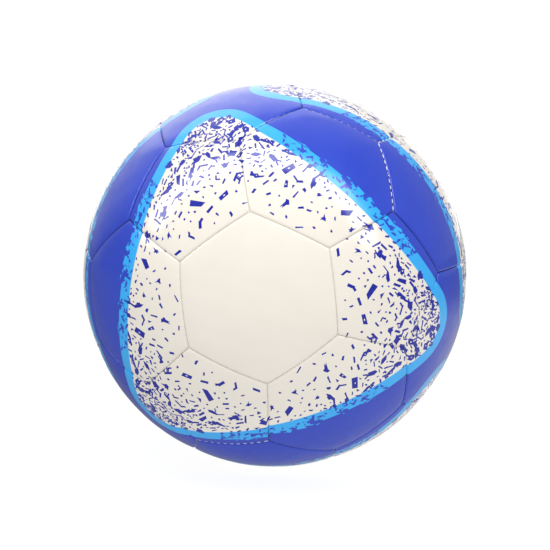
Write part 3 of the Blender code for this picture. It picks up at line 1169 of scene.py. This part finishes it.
# What gloss reflects, along each axis from 0, square to it, to 1, straight along it
BACKDROP_AXIS = (-0.20, 0.70, 0.65)
BACKDROP_STOPS = ((0.0, 0.03), (0.54, 0.05), (0.74, 0.42), (0.88, 0.62), (0.915, 1.35), (1.0, 1.5))
REAR_AXIS = (0.0, 0.99, -0.12)
REAR_STOPS = ((0.82, 0.0), (0.92, 1.5))
SIDE_AXIS = (0.86, 0.45, 0.25)
SIDE_STOPS = ((0.70, 0.0), (0.90, 0.30))
HOOP_AXIS = (-0.12, -1.0, 0.13)
HOOP_STOPS = ((0.23, 0.0), (0.28, 6.5), (0.41, 6.5), (0.46, 0.0))
HOOP_ENDS = ((0.25, 0.0), (0.42, 1.0))


def away(turn, height):
    """The direction from the ball at this angle from the front towards +X, and above the horizon."""
    level = math.cos(height)
    return Vector((math.sin(turn) * level, -math.cos(turn) * level, math.sin(height)))


def aimed(obj, place):
    obj.location = place
    obj.rotation_euler = (-Vector(place)).to_track_quat("-Z", "Y").to_euler()


def build_camera():
    camera = bpy.data.cameras.new("camera")
    camera.lens = CAMERA_LENS
    obj = new_object("camera", camera)
    aimed(obj, away(CAMERA_TURN, CAMERA_HEIGHT) * CAMERA_DISTANCE)
    bpy.context.scene.camera = obj


def soft_light(name, turn, height, distance, size, power):
    light = bpy.data.lights.new(name, "AREA")
    light.shape = "DISK"
    light.size = size
    light.energy = power
    obj = new_object(name, light)
    obj.visible_glossy = False
    aimed(obj, away(math.radians(turn), math.radians(height)) * distance)


def by_ray(tree, light, gloss, seen):
    """A strength of its own for the light that is given, for gloss and for the camera."""
    strength = mixed(tree, output_of(tree, "LightPath", "Is Glossy Ray", {}), light, gloss)
    return mixed(tree, output_of(tree, "LightPath", "Is Camera Ray", {}), strength, seen)


def build_floor():
    """A white floor that glows, so that it stays white to the horizon with only a trace of shadow."""
    low = cad_low.z - FLOOR_GAP
    corners = [(x * FLOOR_HALF, y * FLOOR_HALF, low) for x, y in ((-1, -1), (1, -1), (1, 1), (-1, 1))]
    material, tree, shader = new_material("floor")
    clouded_colour(tree, shader, noise_at(tree, 3, 2), (0.13, 0.13, 0.13), (0.11, 0.11, 0.11))
    inputs = {0: place_on_ball(tree), 1: FLOOR_BRIGHTEST}
    reach = output_of(tree, "VectorMath", "Value", inputs, operation="DISTANCE")
    light = ramp(tree, reach, *FLOOR_LIGHT)
    gloss = ramp(tree, reach, *FLOOR_GLOSS)
    glow = by_ray(tree, light, gloss, FLOOR_GLOW)
    feed(tree, shader, {"Roughness": 0.9, "Specular IOR Level": 0.0})
    feed(tree, shader, {"Emission Color": (1, 1, 1, 1), "Emission Strength": glow})
    material.cycles.emission_sampling = "NONE"
    floor = new_mesh_object("floor", corners, [(0, 1, 2, 3)], [material])


def direction_ramp(tree, axis, stops):
    """A number that depends on the direction's part along an axis; stops are (part, number)."""
    inputs = {0: output_of(tree, "TexCoord", "Generated", {}), 1: Vector(axis).normalized()}
    part = output_of(tree, "VectorMath", "Value", inputs, operation="DOT_PRODUCT")
    curve = tree.nodes.new("ShaderNodeValToRGB")
    elements = curve.color_ramp.elements
    top = max(number for _, number in stops)
    while len(elements) < len(stops):
        elements.new(1.0)
    for element, (at, number) in zip(elements, stops):
        element.position = at
        element.color = (number / top, number / top, number / top, 1)
    tree.links.new(part, curve.inputs["Fac"])
    return math_node(tree, "MULTIPLY", curve.outputs["Color"], top)


def build_world():
    """White surroundings: nearly even in the light they give, and for gloss walls and a hoop of light."""
    world = bpy.data.worlds.new("studio")
    bpy.context.scene.world = world
    world.use_nodes = True
    world.cycles.sampling_method = "NONE"
    tree = world.node_tree
    hoop = direction_ramp(tree, HOOP_AXIS, HOOP_STOPS)
    hoop = math_node(tree, "MULTIPLY", hoop, direction_ramp(tree, (0, 0, 1), HOOP_ENDS))
    walls = direction_ramp(tree, BACKDROP_AXIS, BACKDROP_STOPS)
    for axis, stops in ((REAR_AXIS, REAR_STOPS), (SIDE_AXIS, SIDE_STOPS)):
        walls = math_node(tree, "MAXIMUM", walls, direction_ramp(tree, axis, stops))
    reflected = math_node(tree, "ADD", walls, hoop)
    room = direction_ramp(tree, ROOM_AXIS, ROOM_STOPS)
    strength = by_ray(tree, room, reflected, SKY_GLOW)
    feed(tree, tree.nodes["Background"], {"Strength": strength, "Color": (1, 1, 1, 1)})


def build_stage():
    build_camera()
    build_floor()
    build_world()
    soft_light("key", -38, 52, 1.0, 0.42, 2.4)
    soft_light("fill", 35, 50, 1.0, 0.8, 4.5)
    bpy.context.scene.view_settings.view_transform = "Standard"


def main():
    inks = [
        cover_material("white_ink", (0.82, 0.775, 0.695), (0.80, 0.75, 0.67), 0.8),
        cover_material("cyan_ink", (0.028, 0.42, 0.90), (0.025, 0.39, 0.87)),
        cover_material("blue_ink", (0.022, 0.058, 0.53), (0.019, 0.052, 0.50)),
        cover_material("deep_blue_ink", (0.009, 0.018, 0.35), (0.007, 0.015, 0.32), 0.5),
        # A darker blue for the blue beside each seam: painted shade.
        cover_material("seam_shade_blue_ink", (0.010, 0.020, 0.18), (0.008, 0.017, 0.15)),
        cloth_material("backing_cloth", (0.72, 0.70, 0.64), (0.60, 0.58, 0.52), 900),
    ]
    build_panels(inks)
    build_threads(thread_material())
    patch = cloth_material("patch_cloth", (0.70, 0.67, 0.58), (0.60, 0.57, 0.49), 700)
    bladder = rubber_material("bladder_rubber", (0.030, 0.030, 0.032), (0.050, 0.050, 0.052), 0.47, 0.65)
    build_layers(felt_material(), bladder, patch)
    valve = rubber_material("valve_rubber", (0.030, 0.030, 0.032), (0.045, 0.045, 0.048), 0.34, 0.52)
    plug = rubber_material("plug_rubber", (0.045, 0.045, 0.048), (0.065, 0.065, 0.068), 0.30, 0.48)
    build_valve(valve, plug)
    build_stage()


main()
